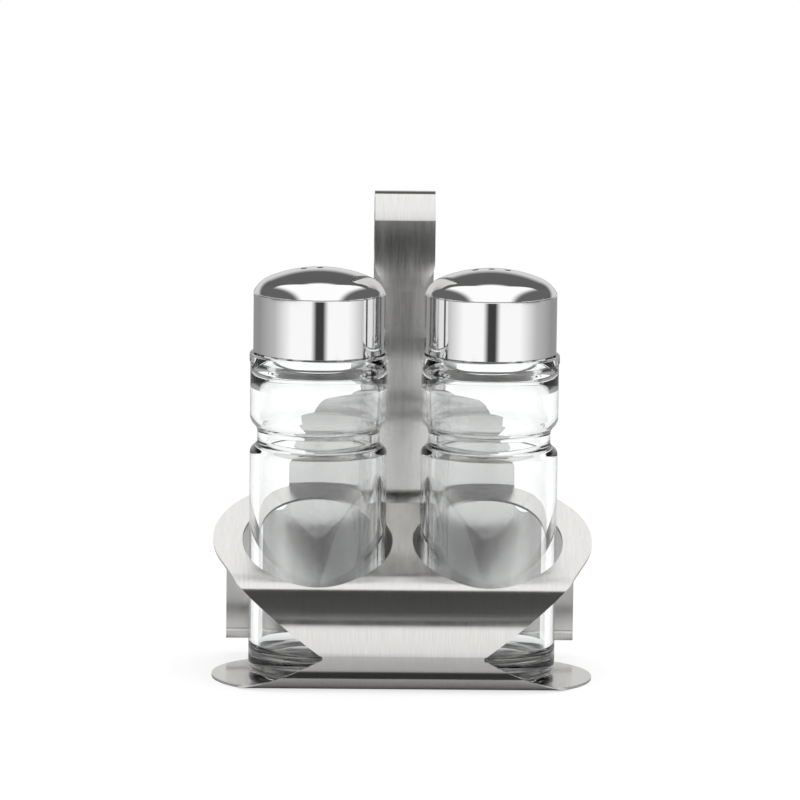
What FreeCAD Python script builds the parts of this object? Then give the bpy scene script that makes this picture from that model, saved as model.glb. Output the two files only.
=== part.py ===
import FreeCAD
import Part
import math
import os
from FreeCAD import Vector

# Table set: two glass shakers with steel caps in a stand folded from one steel sheet.
# Millimetres. X to the right, Y to the back, Z up. The origin is on the table,
# under the middle of the stand. The front of the stand faces -Y.

# Sheet of the stand
sheet = 0.8
foot_bend = 7.5

# Shakers in the stand
shaker_x = 25.0
jar_radius = 20.1

# Tray: its upper face slopes up to the back through this height at the shakers' axes
tray_slope = math.radians(22.5)
tray_height = 40.3
brow_radius = 18.7
brow_end = math.radians(68.0)
lobe_radius = 30.6
lobe_corner = 47.2
lobe_corner_v = -26.5
hole_side_gap = 1.95
hole_front_v = -24.6
hole_back_gap = 0.9
valley_v = 19.2
valley_half = 8.5
valley_round = 2.0
tray_back_gap = 0.423
half_depth = lobe_radius * math.cos(tray_slope) + sheet * math.sin(tray_slope) + tray_back_gap + sheet

# Front wall: the notch on each side
notch_tip_x = 23.4
notch_tip_z = 10.2
notch_bulge = 0.6
notch_sag = 0.7
notch_round = 0.8
notch_top_z = 32.5

# Base plate: two round lobes
base_lobe_y = -5.0
base_lobe_radius = 23.0
base_overhang = 0.2
base_lobe_x = shaker_x + lobe_radius + base_overhang - base_lobe_radius
neck_half = 27.0
relief = 1.2

# Back sheet
panel_half = 52.0
panel_bottom = 4.2
panel_top = 43.5
panel_round = 3.0
shoulder_half = 35.3
shoulder_spring = 57.0
shoulder_fillet = 4.0
strap_half = 8.9
strap_root = 88.0
shoulder_mid = (25.6, 75.0)
shoulder_end = (13.2, 81.6)

# Handle curl
stand_height = 140.5
curl_radius = 8.0
tongue_bottom = 111.6

# Glass jar, heights from the table
jar_floor = 6.2
jar_wall = 2.8
jar_foot_round = 2.2
waist_radius = 17.9
waist_height = 70.8
waist_flat = 2.0
waist_blend_low = 4.0
waist_blend_high = 5.2
ring_bottom = 92.9
ring_top = 95.5
ring_proud = 0.25
neck_radius = 16.2
neck_bore = 13.4
mouth_height = 111.2
thread_depth = 0.8
jar_seat_gap = 0.0

# Steel cap
cap_radius = 19.3
cap_steel = 0.5
cap_gap = 0.3
cap_headroom = 2.1
cap_shoulder = 8.1
shoulder_from = math.radians(25.0)
shoulder_to = math.radians(67.0)
pour_radius = 1.0
pour_spacing = 4.7
pour_rows = {"left": (-1, 0), "right": (-1, 0, 1)}

# Plastic insert in the cap
liner_fit = 0.05
liner_wall = 1.45
liner_top = 1.6
liner_rim_gap = 0.3
liner_inset = 0.6
liner_thread_gap = 0.35
liner_hole_extra = 0.6
liner_foot = ring_top + cap_gap + liner_inset

# Threads, between the foot of the insert and the mouth of the jar
thread_span = mouth_height - liner_foot
thread_height = 0.12 * thread_span
jar_thread_z = liner_foot + 0.55 * thread_span
liner_thread_z = liner_foot + 0.28 * thread_span

LONG = 400.0
SIDES = {"left": -1, "right": 1}


def line(a, b):
    return Part.LineSegment(a, b).toShape()


def arc(a, m, b):
    return Part.Arc(a, m, b).toShape()


def face(edges):
    return Part.Face(Part.Wire(Part.__sortEdges__(edges)))


def mirrored(shape):
    return shape.mirror(Vector(0, 0, 0), Vector(1, 0, 0))


def clean(shape, name):
    result = shape.removeSplitter()
    if len(result.Solids) != 1:
        raise ValueError(name + ": expected one solid, found %d" % len(result.Solids))
    solid = result.Solids[0]
    if not solid.isValid():
        raise ValueError(name + ": the solid is not valid")
    return solid


# Side profile of the stand

def yz(y, z):
    return Vector(0, y, z)


def bend_point(centre, radius, angle):
    # angle 0 points to the front, a quarter turn points up
    return yz(centre.y - radius * math.cos(angle), centre.z + radius * math.sin(angle))


def brow_geometry():
    # The radius of the front wall follows from the plane that the tray must lie in.
    sin_t, cos_t, tan_t = math.sin(tray_slope), math.cos(tray_slope), math.tan(tray_slope)
    sin_a, cos_a = math.sin(brow_end), math.cos(brow_end)
    rise = tray_height - foot_bend - half_depth * tan_t
    rise += brow_radius * ((sin_a - sin_t) * tan_t - (cos_t - cos_a))
    wall_radius = rise / (cos_a - (1.0 - sin_a) * tan_t)
    wall_centre = yz(-half_depth + wall_radius, foot_bend)
    brow_centre = bend_point(wall_centre, wall_radius - brow_radius, math.pi / 2 - brow_end)
    return wall_radius, wall_centre, brow_centre


wall_radius, wall_centre, brow_centre = brow_geometry()
foot_centre = yz(-half_depth + foot_bend, foot_bend)
wall_turn = math.pi / 2 - brow_end
brow_turn = math.pi / 2 - tray_slope


def tray_point(v, depth=0.0):
    # v runs up the slope from the shakers' axes, depth goes down through the sheet
    y = v * math.cos(tray_slope) + depth * math.sin(tray_slope)
    z = tray_height + v * math.sin(tray_slope) - depth * math.cos(tray_slope)
    return yz(y, z)


def front_profile():
    edges = []
    for inset in (0.0, sheet):
        back = tray_point(lobe_radius + sheet, inset)
        tangent = bend_point(brow_centre, brow_radius - inset, brow_turn)
        brow_mid = bend_point(brow_centre, brow_radius - inset, (brow_turn + wall_turn) / 2)
        brow_low = bend_point(brow_centre, brow_radius - inset, wall_turn)
        wall_mid = bend_point(wall_centre, wall_radius - inset, wall_turn / 2)
        wall_low = bend_point(wall_centre, wall_radius - inset, 0.0)
        foot_mid = bend_point(foot_centre, foot_bend - inset, -math.pi / 4)
        foot_low = bend_point(foot_centre, foot_bend - inset, -math.pi / 2)
        edges.append(line(back, tangent))
        edges.append(arc(tangent, brow_mid, brow_low))
        edges.append(arc(brow_low, wall_mid, wall_low))
        edges.append(arc(wall_low, foot_mid, foot_low))
    edges.append(line(tray_point(lobe_radius + sheet), tray_point(lobe_radius + sheet, sheet)))
    edges.append(line(yz(foot_centre.y, 0), yz(foot_centre.y, sheet)))
    return face(edges)


def across(profile, half_width):
    moved = profile.copy()
    moved.translate(Vector(-half_width, 0, 0))
    return moved.extrude(Vector(2 * half_width, 0, 0))


# Outlines that trim the tray and the front wall

def lobe_tangent():
    # where the straight edge from the front corner touches the round lobe
    dx = lobe_corner - shaker_x
    dv = lobe_corner_v
    distance = math.hypot(dx, dv)
    angle = math.atan2(dv, dx) + math.acos(lobe_radius / distance)
    return shaker_x + lobe_radius * math.cos(angle), lobe_radius * math.sin(angle), angle


def tray_outline():
    # half outline on +X in the plane of the tray, made full by its mirror image
    touch_x, touch_v, touch_angle = lobe_tangent()
    far_v = -half_depth - tray_height
    far_x = shaker_x + 2 * lobe_radius
    inner_dv = math.sqrt(lobe_radius ** 2 - (shaker_x - valley_half) ** 2)
    inner_angle = math.pi - math.asin(inner_dv / lobe_radius)
    middle = (touch_angle + inner_angle) / 2
    points = [
        Vector(0, far_v, 0),
        Vector(far_x, far_v, 0),
        Vector(far_x, lobe_corner_v, 0),
        Vector(lobe_corner, lobe_corner_v, 0),
        Vector(touch_x, touch_v, 0),
        Vector(shaker_x + lobe_radius * math.cos(middle), lobe_radius * math.sin(middle), 0),
        Vector(valley_half, inner_dv, 0),
        Vector(valley_half, valley_v + valley_round, 0),
        Vector(valley_half - valley_round, valley_v, 0),
        Vector(0, valley_v, 0),
    ]
    corner = valley_half - valley_round * (1 - math.sqrt(0.5))
    corner_v = valley_v + valley_round * (1 - math.sqrt(0.5))
    return face([
        line(points[0], points[1]),
        line(points[1], points[2]),
        line(points[2], points[3]),
        line(points[3], points[4]),
        arc(points[4], points[5], points[6]),
        line(points[6], points[7]),
        arc(points[7], Vector(corner, corner_v, 0), points[8]),
        line(points[8], points[9]),
        line(points[9], points[0]),
    ])


def onto_tray(shape):
    shape.rotate(Vector(0, 0, 0), Vector(1, 0, 0), math.degrees(tray_slope))
    shape.translate(Vector(0, 0, tray_height))
    return shape


def tray_prism(flat):
    solid = flat.extrude(Vector(0, 0, 2 * LONG))
    solid.translate(Vector(0, 0, -LONG))
    return onto_tray(solid)


def shaker_hole(side):
    half_x = jar_radius + hole_side_gap
    back_v = (jar_radius + hole_back_gap) / math.cos(tray_slope)
    half_v = (back_v - hole_front_v) / 2
    centre = Vector(side * shaker_x, (back_v + hole_front_v) / 2, 0)
    if half_v > half_x:
        ellipse = Part.Ellipse(centre + Vector(0, half_v, 0), centre + Vector(half_x, 0, 0), centre)
    else:
        ellipse = Part.Ellipse(centre + Vector(half_x, 0, 0), centre + Vector(0, half_v, 0), centre)
    return tray_prism(Part.Face(Part.Wire([ellipse.toShape()])))


def base_corner():
    # where the base lobe meets the line at which the foot bend begins
    dy = foot_centre.y - base_lobe_y
    return base_lobe_x + math.sqrt(base_lobe_radius ** 2 - dy ** 2)


def between(a, b, bulge):
    # middle point of an arc from a to b that stands out by bulge, to the left of a to b
    middle = (a + b) * 0.5
    along = b - a
    length = along.Length
    return middle + Vector(-along.z / length * bulge, 0, along.x / length * bulge)


def front_keep():
    # front view of what is kept beside the notch, half on +X
    low = Vector(base_corner(), 0, 0)
    tip_low = Vector(notch_tip_x + notch_round, 0, notch_tip_z - notch_round)
    tip = Vector(notch_tip_x, 0, notch_tip_z)
    tip_high = Vector(notch_tip_x + notch_round, 0, notch_tip_z + notch_round)
    touch_x, touch_v, touch_angle = lobe_tangent()
    high = Vector(touch_x, 0, notch_top_z + (touch_x - lobe_corner) * math.tan(tray_slope))
    wide = base_corner() + half_depth
    top = tray_height + 2 * lobe_radius
    return face([
        line(Vector(0, 0, -sheet), Vector(low.x, 0, -sheet)),
        line(Vector(low.x, 0, -sheet), low),
        arc(low, between(low, tip_low, notch_sag), tip_low),
        arc(tip_low, tip, tip_high),
        arc(tip_high, between(tip_high, high, -notch_bulge), high),
        line(high, Vector(wide, 0, high.z)),
        line(Vector(wide, 0, high.z), Vector(wide, 0, top)),
        line(Vector(wide, 0, top), Vector(0, 0, top)),
        line(Vector(0, 0, top), Vector(0, 0, -sheet)),
    ])


def front_and_tray():
    solid = across(front_profile(), shaker_x + lobe_radius + sheet)
    outline = tray_outline()
    solid = solid.common(tray_prism(outline).fuse(tray_prism(mirrored(outline))))
    keep = front_keep().extrude(Vector(0, 2 * LONG, 0))
    keep.translate(Vector(0, -LONG, 0))
    solid = solid.common(keep.fuse(mirrored(keep)))
    for side in (-1, 1):
        solid = solid.cut(shaker_hole(side))
    return solid


# Base plate, rear bend and back sheet

def base_plate():
    front = foot_centre.y
    back = half_depth - foot_bend
    lobe_back = base_lobe_y + base_lobe_radius
    plate = Part.makeBox(2 * base_lobe_x, lobe_back - front, sheet, Vector(-base_lobe_x, front, 0))
    for side in (-1, 1):
        lobe = Part.makeCylinder(base_lobe_radius, sheet, Vector(side * base_lobe_x, base_lobe_y, 0))
        plate = plate.fuse(lobe)
    window = Part.makeBox(LONG, back - front, sheet, Vector(-LONG / 2, front, 0))
    plate = plate.common(window)
    neck = Part.makeBox(2 * neck_half, back - front, sheet, Vector(-neck_half, front, 0))
    return plate.fuse(neck)


def rear_bend():
    centre = yz(half_depth - foot_bend, foot_bend)
    edges = []
    for radius in (foot_bend, foot_bend - sheet):
        low = yz(centre.y, centre.z - radius)
        middle = yz(centre.y + radius * math.sqrt(0.5), centre.z - radius * math.sqrt(0.5))
        high = yz(centre.y + radius, centre.z)
        edges.append(arc(low, middle, high))
    edges.append(line(yz(centre.y, 0), yz(centre.y, sheet)))
    edges.append(line(yz(half_depth - sheet, centre.z), yz(half_depth, centre.z)))
    return across(face(edges), neck_half)


def back_outline():
    # half outline on +X in the X-Z plane, from the foot of the panel to the strap
    slot_top = foot_bend + relief
    top_x = strap_half
    strap_top = stand_height - curl_radius
    round_mid = panel_round * (1 - math.sqrt(0.5))
    fillet_mid = shoulder_fillet * (1 - math.sqrt(0.5))
    inner = neck_half + relief
    ledge = shoulder_half + shoulder_fillet

    def p(x, z):
        return Vector(x, half_depth, z)

    end = p(*shoulder_end)
    spring = p(shoulder_half, shoulder_spring)
    return face([
        line(p(0, foot_bend), p(neck_half, foot_bend)),
        line(p(neck_half, foot_bend), p(neck_half, slot_top)),
        line(p(neck_half, slot_top), p(inner, slot_top)),
        line(p(inner, slot_top), p(inner, panel_bottom)),
        line(p(inner, panel_bottom), p(panel_half, panel_bottom)),
        line(p(panel_half, panel_bottom), p(panel_half, panel_top - panel_round)),
        arc(p(panel_half, panel_top - panel_round), p(panel_half - round_mid, panel_top - round_mid),
            p(panel_half - panel_round, panel_top)),
        line(p(panel_half - panel_round, panel_top), p(ledge, panel_top)),
        arc(p(ledge, panel_top), p(shoulder_half + fillet_mid, panel_top + fillet_mid),
            p(shoulder_half, panel_top + shoulder_fillet)),
        line(p(shoulder_half, panel_top + shoulder_fillet), spring),
        arc(spring, p(*shoulder_mid), end),
        arc(end, between(end, p(top_x, strap_root), -0.5), p(top_x, strap_root)),
        line(p(top_x, strap_root), p(top_x, strap_top)),
        line(p(top_x, strap_top), p(0, strap_top)),
        line(p(0, strap_top), p(0, foot_bend)),
    ])


def back_sheet():
    half = back_outline().extrude(Vector(0, -sheet, 0))
    return half.fuse(mirrored(half))


def curl():
    centre = yz(half_depth - curl_radius, stand_height - curl_radius)
    edges = []
    for radius in (curl_radius, curl_radius - sheet):
        start = yz(centre.y + radius, centre.z)
        top = yz(centre.y, centre.z + radius)
        end = yz(centre.y - radius, centre.z)
        low = yz(centre.y - radius, tongue_bottom)
        edges.append(arc(start, top, end))
        edges.append(line(end, low))
    outer = half_depth - 2 * curl_radius
    edges.append(line(yz(outer, tongue_bottom), yz(outer + sheet, tongue_bottom)))
    edges.append(line(yz(half_depth - sheet, centre.z), yz(half_depth, centre.z)))
    body = across(face(edges), strap_half)
    tongue_centre = tongue_bottom + strap_half
    square = Part.makeBox(2 * strap_half, 2 * sheet, strap_half,
                          Vector(-strap_half, outer - sheet / 2, tongue_bottom))
    disc = Part.makeCylinder(strap_half, 2 * sheet, Vector(0, outer - sheet / 2, tongue_centre), Vector(0, 1, 0))
    return body.cut(square.cut(disc))


def stand():
    # One folded sheet, handed over in three parts that meet face to face.
    front = front_and_tray()
    seam = bend_point(brow_centre, brow_radius, wall_turn).z
    above = Part.makeBox(LONG, LONG, LONG, Vector(-LONG / 2, -LONG / 2, seam))
    base = front.cut(above).fuse(base_plate()).fuse(rear_bend())
    return {
        "stand_tray": clean(front.common(above), "stand_tray"),
        "stand_base": clean(base, "stand_base"),
        "stand_back": clean(back_sheet().fuse(curl()), "stand_back"),
    }


# Turned pieces: the outline is drawn in the X-Z plane and spun about Z

def rz(r, z):
    return Vector(r, 0, z)


def spun(edges, name):
    solid = face(edges).revolve(Vector(0, 0, 0), Vector(0, 0, 1), 360)
    solid.translate(Vector(SIDES[name] * shaker_x, 0, 0))
    return solid


def blend(a, b):
    # two equal arcs that leave a and reach b upright, as an S between two radii
    middle = (a + b) * 0.5
    dr = (b.x - a.x) / 2
    dz = (b.z - a.z) / 2
    radius = (dr * dr + dz * dz) / (2 * abs(dr))
    turn = math.asin(abs(dz) / radius) / 2
    out = math.copysign(radius * (1 - math.cos(turn)), dr)
    up = math.copysign(radius * math.sin(turn), dz)
    first = arc(a, a + Vector(out, 0, up), middle)
    second = arc(middle, b - Vector(out, 0, up), b)
    return [first, second]


def chain(points):
    return [line(points[i], points[i + 1]) for i in range(len(points) - 1)]


def jar(name):
    foot = sheet + jar_seat_gap
    low = waist_height - waist_flat / 2
    high = waist_height + waist_flat / 2
    shoulder = ring_bottom - ring_proud
    inner = jar_radius - jar_wall
    inner_waist = waist_radius - jar_wall
    round_mid = jar_foot_round * (1 - math.sqrt(0.5))
    edges = chain([rz(0, foot), rz(jar_radius - jar_foot_round, foot)])
    edges.append(arc(rz(jar_radius - jar_foot_round, foot), rz(jar_radius - round_mid, foot + round_mid),
                     rz(jar_radius, foot + jar_foot_round)))
    edges += chain([rz(jar_radius, foot + jar_foot_round), rz(jar_radius, low - waist_blend_low)])
    edges += blend(rz(jar_radius, low - waist_blend_low), rz(waist_radius, low))
    edges += chain([rz(waist_radius, low), rz(waist_radius, high)])
    edges += blend(rz(waist_radius, high), rz(jar_radius, high + waist_blend_high))
    edges += chain([
        rz(jar_radius, high + waist_blend_high),
        rz(jar_radius, shoulder),
        rz(jar_radius + ring_proud, ring_bottom),
        rz(jar_radius + ring_proud, ring_top - ring_proud),
        rz(jar_radius, ring_top),
        rz(neck_radius, ring_top),
        rz(neck_radius, jar_thread_z - thread_height / 2),
        rz(neck_radius + thread_depth, jar_thread_z - thread_height / 6),
        rz(neck_radius + thread_depth, jar_thread_z + thread_height / 6),
        rz(neck_radius, jar_thread_z + thread_height / 2),
        rz(neck_radius, mouth_height),
        rz(neck_bore, mouth_height),
        rz(neck_bore, ring_top + thread_depth),
    ])
    edges += blend(rz(neck_bore, ring_top + thread_depth), rz(inner, ring_bottom - jar_wall))
    edges += chain([rz(inner, ring_bottom - jar_wall), rz(inner, high + waist_blend_high)])
    edges += blend(rz(inner, high + waist_blend_high), rz(inner_waist, high))
    edges += chain([rz(inner_waist, high), rz(inner_waist, low)])
    edges += blend(rz(inner_waist, low), rz(inner, low - waist_blend_low))
    floor = sheet + jar_floor
    edges += chain([rz(inner, low - waist_blend_low), rz(inner, floor + jar_wall)])
    floor_mid = jar_wall * (1 - math.sqrt(0.5))
    edges.append(arc(rz(inner, floor + jar_wall), rz(inner - floor_mid, floor + floor_mid),
                     rz(inner - jar_wall, floor)))
    edges += chain([rz(inner - jar_wall, floor), rz(0, floor), rz(0, foot)])
    return spun(edges, name)


def dome(inset):
    # the cap's outside, or its inside at the depth of inset: crease, middle and end of the
    # shoulder, middle of the crown, and apex
    centre_r = cap_radius - cap_shoulder * math.cos(shoulder_from)
    centre_z = mouth_height + cap_headroom - cap_shoulder * math.sin(shoulder_from)
    crown = centre_r / math.cos(shoulder_to) + cap_shoulder
    crown_z = centre_z - (crown - cap_shoulder) * math.sin(shoulder_to)
    shoulder = cap_shoulder - inset
    start_angle = math.acos((cap_radius - inset - centre_r) / shoulder)
    points = []
    for angle in (start_angle, (start_angle + shoulder_to) / 2, shoulder_to):
        points.append(rz(centre_r + shoulder * math.cos(angle), centre_z + shoulder * math.sin(angle)))
    for angle in ((shoulder_to + math.pi / 2) / 2, math.pi / 2):
        points.append(rz((crown - inset) * math.cos(angle), crown_z + (crown - inset) * math.sin(angle)))
    points[-1].x = 0
    return points


def pour_holes(name, radius):
    holes = []
    height = dome(0.0)[-1].z - ring_top + cap_steel
    for step in pour_rows[name]:
        place = Vector(SIDES[name] * shaker_x + step * pour_spacing, 0, ring_top)
        holes.append(Part.makeCylinder(radius, height, place))
    return holes


def cap_shell(name):
    lip = ring_top + cap_gap
    outside = dome(0.0)
    inside = dome(cap_steel)
    edges = []
    for line_points in (outside, inside):
        start, middle, end, crown, apex = line_points
        edges.append(line(rz(start.x, lip), start))
        edges.append(arc(start, middle, end))
        edges.append(arc(end, crown, apex))
    edges.append(line(rz(outside[0].x, lip), rz(inside[0].x, lip)))
    edges.append(line(outside[4], inside[4]))
    solid = spun(edges, name)
    for hole in pour_holes(name, pour_radius):
        solid = solid.cut(hole)
    return solid


def cap_liner(name):
    outer = cap_radius - cap_steel - liner_fit
    bore = outer - liner_wall
    seat = mouth_height + liner_rim_gap
    ridge = neck_radius + liner_thread_gap
    half = thread_height / 2
    crest = thread_height / 6
    edges = chain([
        rz(bore, liner_foot),
        rz(outer, liner_foot),
        rz(outer, seat + liner_top / 2),
        rz(outer - liner_top / 2, seat + liner_top),
        rz(0, seat + liner_top),
        rz(0, seat),
        rz(bore, seat),
        rz(bore, liner_thread_z + half),
        rz(ridge, liner_thread_z + crest),
        rz(ridge, liner_thread_z - crest),
        rz(bore, liner_thread_z - half),
        rz(bore, liner_foot),
    ])
    solid = spun(edges, name)
    for hole in pour_holes(name, pour_radius + liner_hole_extra):
        solid = solid.cut(hole)
    return solid


def build():
    shapes = stand()
    for name in SIDES:
        shapes[name + "_jar"] = clean(jar(name), name + "_jar")
        shapes[name + "_cap_shell"] = clean(cap_shell(name), name + "_cap_shell")
        shapes[name + "_cap_liner"] = clean(cap_liner(name), name + "_cap_liner")
    return shapes


os.makedirs("parts", exist_ok=True)
for node, shape in build().items():
    shape.exportStep(os.path.join("parts", node + ".step"))
    box = shape.BoundBox
    print("%-18s volume %9.1f mm3  x %.2f..%.2f  y %.2f..%.2f  z %.2f..%.2f" % (
        node, shape.Volume, box.XMin, box.XMax, box.YMin, box.YMax, box.ZMin, box.ZMax))
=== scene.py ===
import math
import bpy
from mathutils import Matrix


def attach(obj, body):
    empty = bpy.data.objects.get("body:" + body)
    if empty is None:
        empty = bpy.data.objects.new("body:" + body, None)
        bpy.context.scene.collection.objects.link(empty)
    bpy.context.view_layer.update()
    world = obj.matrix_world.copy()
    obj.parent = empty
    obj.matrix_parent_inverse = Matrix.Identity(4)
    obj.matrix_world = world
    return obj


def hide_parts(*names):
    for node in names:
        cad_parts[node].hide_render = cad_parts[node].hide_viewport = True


bl_info = {
    "name": "Table shaker set",
    "version": (1, 0, 0),
    "blender": (4, 5, 0),
    "location": "View3D > Sidebar > Shakers",
    "description": "Two glass shakers with steel caps in a stand folded from one steel sheet",
    "category": "Object",
}

import bpy
from bpy.props import FloatProperty, PointerProperty, StringProperty
from bpy.types import Operator, Panel, PropertyGroup
from mathutils import Matrix, Vector

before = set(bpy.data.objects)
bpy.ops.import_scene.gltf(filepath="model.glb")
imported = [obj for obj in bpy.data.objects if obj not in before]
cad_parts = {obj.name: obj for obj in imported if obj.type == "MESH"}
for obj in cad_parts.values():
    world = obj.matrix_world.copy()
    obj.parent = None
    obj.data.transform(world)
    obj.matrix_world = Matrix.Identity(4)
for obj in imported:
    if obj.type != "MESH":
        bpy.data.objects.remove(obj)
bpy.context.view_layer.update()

MM = 0.001
SIDES = {"left": -1.0, "right": 1.0}

# Where the stand's outline turns, in millimetres; V runs up the slope of the tray from the shakers' axes
HOLE_X = 25.0
TRAY_CORNER_X = 47.2
TRAY_CORNER_V = -26.5
VALLEY_HALF = 8.5
VALLEY_V = 19.2
VALLEY_ROUND = 2.0
NOTCH_TIP_X = 23.4
NOTCH_TIP_Z = 10.2
NOTCH_ROUND = 0.8
NOTCH_SAG = 0.7
NOTCH_BULGE = 0.6
NOTCH_TOP_Z = 32.5
BASE_LOBE_X = 32.8
BASE_LOBE_Y = -5.0
NECK_HALF = 27.0
RELIEF = 1.2
PANEL_HALF = 52.0
PANEL_BOTTOM = 4.2
PANEL_TOP = 43.5
PANEL_ROUND = 3.0
SHOULDER_END = (13.2, 81.6)
SHOULDER_MIDDLE = (25.6, 75.0)
SHOULDER_SPRING = (35.3, 57.0)
SHOULDER_FILLET = 4.0
STRAP_ROOT = 88.0
TONGUE_BOTTOM = 111.6

# Planes clear of the stand, where the cutters end, in millimetres
BLANK_HALF = 57.0
BESIDE = 66.0
BEHIND = 31.0
ABOVE = 142.0
BELOW = -1.0

# Angles of the cap's shoulder and crown, in degrees up from level
SHOULDER_FROM = 25.0
SHOULDER_TO = 67.0
CROWN_END = 88.5


# Small helpers

def linear(code):
    """A colour written as an sRGB hex value, as the linear values that a shader takes."""
    values = [int(code[i:i + 2], 16) / 255.0 for i in (1, 3, 5)]
    return [v / 12.92 if v <= 0.04045 else ((v + 0.055) / 1.055) ** 2.4 for v in values] + [1.0]


def grey(value):
    """A grey written as a level from 0 to 255 in a finished picture."""
    return linear("#" + "%02x" % int(value) * 3)


def deselect():
    if bpy.context.object and bpy.context.object.mode != "OBJECT":
        bpy.ops.object.mode_set(mode="OBJECT")
    bpy.ops.object.select_all(action="DESELECT")


def only(piece):
    deselect()
    piece.select_set(True)
    bpy.context.view_layer.objects.active = piece


def settle(piece, name):
    """Names a finished piece and puts its place in its mesh, with the object at the origin."""
    only(piece)
    bpy.ops.object.transform_apply(location=True, rotation=True, scale=True)
    piece.name = name
    piece.data.name = name
    return piece


def apply_modifier(piece, kind, **settings):
    only(piece)
    modifier = piece.modifiers.new(kind.title(), kind)
    for key, value in settings.items():
        setattr(modifier, key, value)
    bpy.ops.object.modifier_apply(modifier=modifier.name)


def smooth(piece, degrees):
    """Smooth shading up to an angle, with flat faces kept flat up to their edges."""
    only(piece)
    bpy.ops.object.shade_smooth_by_angle(angle=math.radians(degrees))
    apply_modifier(piece, "WEIGHTED_NORMAL", mode="FACE_AREA", keep_sharp=True)


def cut(piece, cutter):
    """Takes the cutter's space out of a piece and removes the cutter."""
    apply_modifier(piece, "BOOLEAN", operation="DIFFERENCE", solver="EXACT", object=cutter)
    bpy.data.objects.remove(cutter, do_unlink=True)


def arc(centre, radius, first, last, steps):
    """Points of an arc in a plane, angles in degrees, both ends included."""
    points = []
    for i in range(steps + 1):
        angle = math.radians(first + (last - first) * i / steps)
        points.append((centre[0] + radius * math.cos(angle), centre[1] + radius * math.sin(angle)))
    return points


def arc_through(a, m, b, steps):
    """Points of the arc from a to b through m, both ends included."""
    (ax, ay), (mx, my), (bx, by) = a, m, b
    d = 2 * (ax * (my - by) + mx * (by - ay) + bx * (ay - my))
    sa, sm, sb = ax * ax + ay * ay, mx * mx + my * my, bx * bx + by * by
    cx = (sa * (my - by) + sm * (by - ay) + sb * (ay - my)) / d
    cy = (sa * (bx - mx) + sm * (ax - bx) + sb * (mx - ax)) / d
    radius = math.hypot(ax - cx, ay - cy)
    first = math.atan2(ay - cy, ax - cx)
    middle = (math.atan2(my - cy, mx - cx) - first) % (2 * math.pi)
    last = (math.atan2(by - cy, bx - cx) - first) % (2 * math.pi)
    if middle > last:
        last -= 2 * math.pi
    return arc((cx, cy), radius, math.degrees(first), math.degrees(first + last), steps)


def sagged(a, b, bulge, steps):
    """An arc from a to b whose middle stands out by bulge, to the left of the way from a to b."""
    length = math.hypot(b[0] - a[0], b[1] - a[1])
    along = ((b[0] - a[0]) / length, (b[1] - a[1]) / length)
    middle = ((a[0] + b[0]) / 2 - along[1] * bulge, (a[1] + b[1]) / 2 + along[0] * bulge)
    return arc_through(a, middle, b, steps)


def draw_prism(points, pull):
    """Draws a closed outline by extruding a vertex from point to point, fills it and pulls it to a block."""
    points = [Vector(p) * MM for p in points]
    deselect()
    bpy.ops.mesh.primitive_plane_add(size=MM, location=(0, 0, 0))
    block = bpy.context.object
    bpy.ops.object.mode_set(mode="EDIT")
    bpy.ops.mesh.select_mode(type="VERT")
    bpy.ops.mesh.select_all(action="SELECT")
    bpy.ops.mesh.merge(type="CENTER")
    bpy.ops.transform.translate(value=points[0])
    for here, there in zip(points, points[1:]):
        bpy.ops.mesh.extrude_vertices_move(TRANSFORM_OT_translate={"value": there - here})
    bpy.ops.mesh.select_all(action="SELECT")
    bpy.ops.mesh.edge_face_add()
    bpy.ops.mesh.extrude_region_move(TRANSFORM_OT_translate={"value": Vector(pull) * MM})
    bpy.ops.mesh.select_all(action="SELECT")
    bpy.ops.mesh.normals_make_consistent(inside=False)
    bpy.ops.object.mode_set(mode="OBJECT")
    return block


def turn(profile, centre_x, count):
    """Raises a ring along a profile of radius and height, as on a lathe, and closes both ends."""
    deselect()
    radius, height = profile[0]
    bpy.ops.mesh.primitive_circle_add(vertices=count, radius=radius * MM, fill_type="NGON",
                                      location=(centre_x * MM, 0, height * MM))
    piece = bpy.context.object
    bpy.ops.object.mode_set(mode="EDIT")
    bpy.ops.mesh.select_all(action="SELECT")
    for (r0, z0), (r1, z1) in zip(profile, profile[1:]):
        bpy.ops.mesh.extrude_region_move(TRANSFORM_OT_translate={"value": (0, 0, (z1 - z0) * MM)})
        bpy.ops.transform.resize(value=(r1 / r0, r1 / r0, 1), center_override=(centre_x * MM, 0, z1 * MM))
    bpy.ops.mesh.select_all(action="SELECT")
    bpy.ops.mesh.normals_make_consistent(inside=False)
    bpy.ops.object.mode_set(mode="OBJECT")
    return piece


# Sizes and colours that a user would change

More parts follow.
